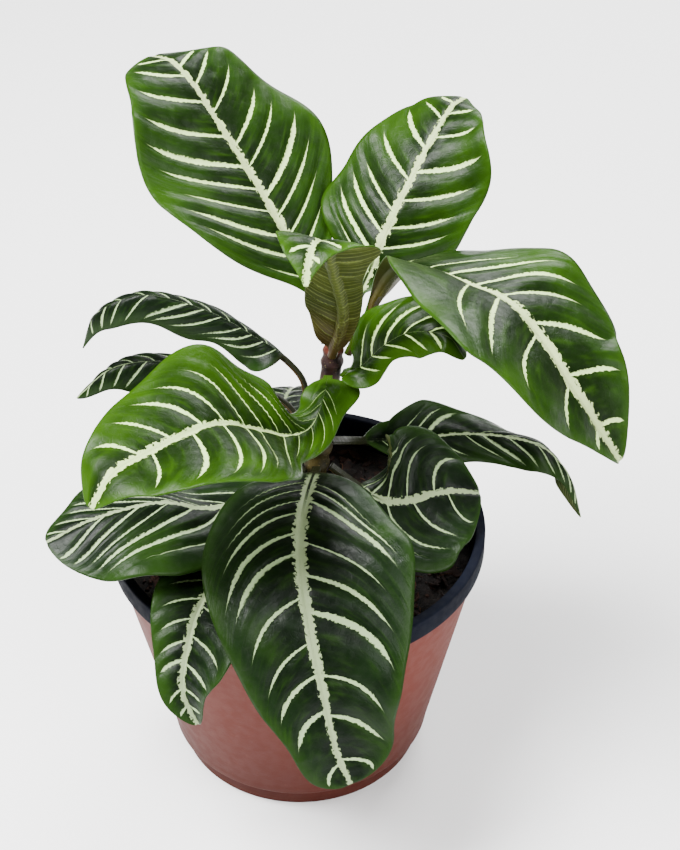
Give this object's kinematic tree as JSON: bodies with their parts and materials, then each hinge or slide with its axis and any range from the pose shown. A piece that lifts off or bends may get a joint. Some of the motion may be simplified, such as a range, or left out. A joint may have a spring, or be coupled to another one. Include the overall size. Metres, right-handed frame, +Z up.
{
  "type": "potted zebra plant",
  "caption": "A small bushy zebra plant with white-striped dark green leaves on a leaning stem, growing in soil in a round tapered plastic pot with a dark rim.",
  "frame": {"origin": "centre of the pot's flat underside, on the surface it stands on", "axes": "+Z up along the pot's axis; -Y toward the side with the long leaf that hangs over the rim; +X toward the big arching right leaf"},
  "size_m": [0.2101, 0.1931, 0.2771],
  "materials": {
    "pot_plastic": "satin terracotta-coloured plastic, with a dark navy rim and inside",
    "soil": "damp dark potting mix with bark and coir",
    "stem": "matt greenish-brown",
    "leaf": "glossy dark green with cream-white veins",
    "leaf_bright": "glossy yellow-green with cream-white veins"
  },
  "bodies": {
    "root": {"pot": "pot_plastic", "soil": "soil", "stem": "stem", "leaf_top_left": "leaf", "leaf_top_right": "leaf", "leaf_right_large": "leaf", "leaf_young": "leaf_bright", "leaf_right_inner": "leaf_bright", "leaf_left_bright": "leaf_bright", "leaf_left_upper": "leaf", "leaf_left_lower": "leaf", "leaf_back": "leaf", "leaf_left_low": "leaf", "leaf_front_left": "leaf", "leaf_front": "leaf", "leaf_right_low": "leaf", "leaf_right_back": "leaf"}
  },
  "joints": []
}
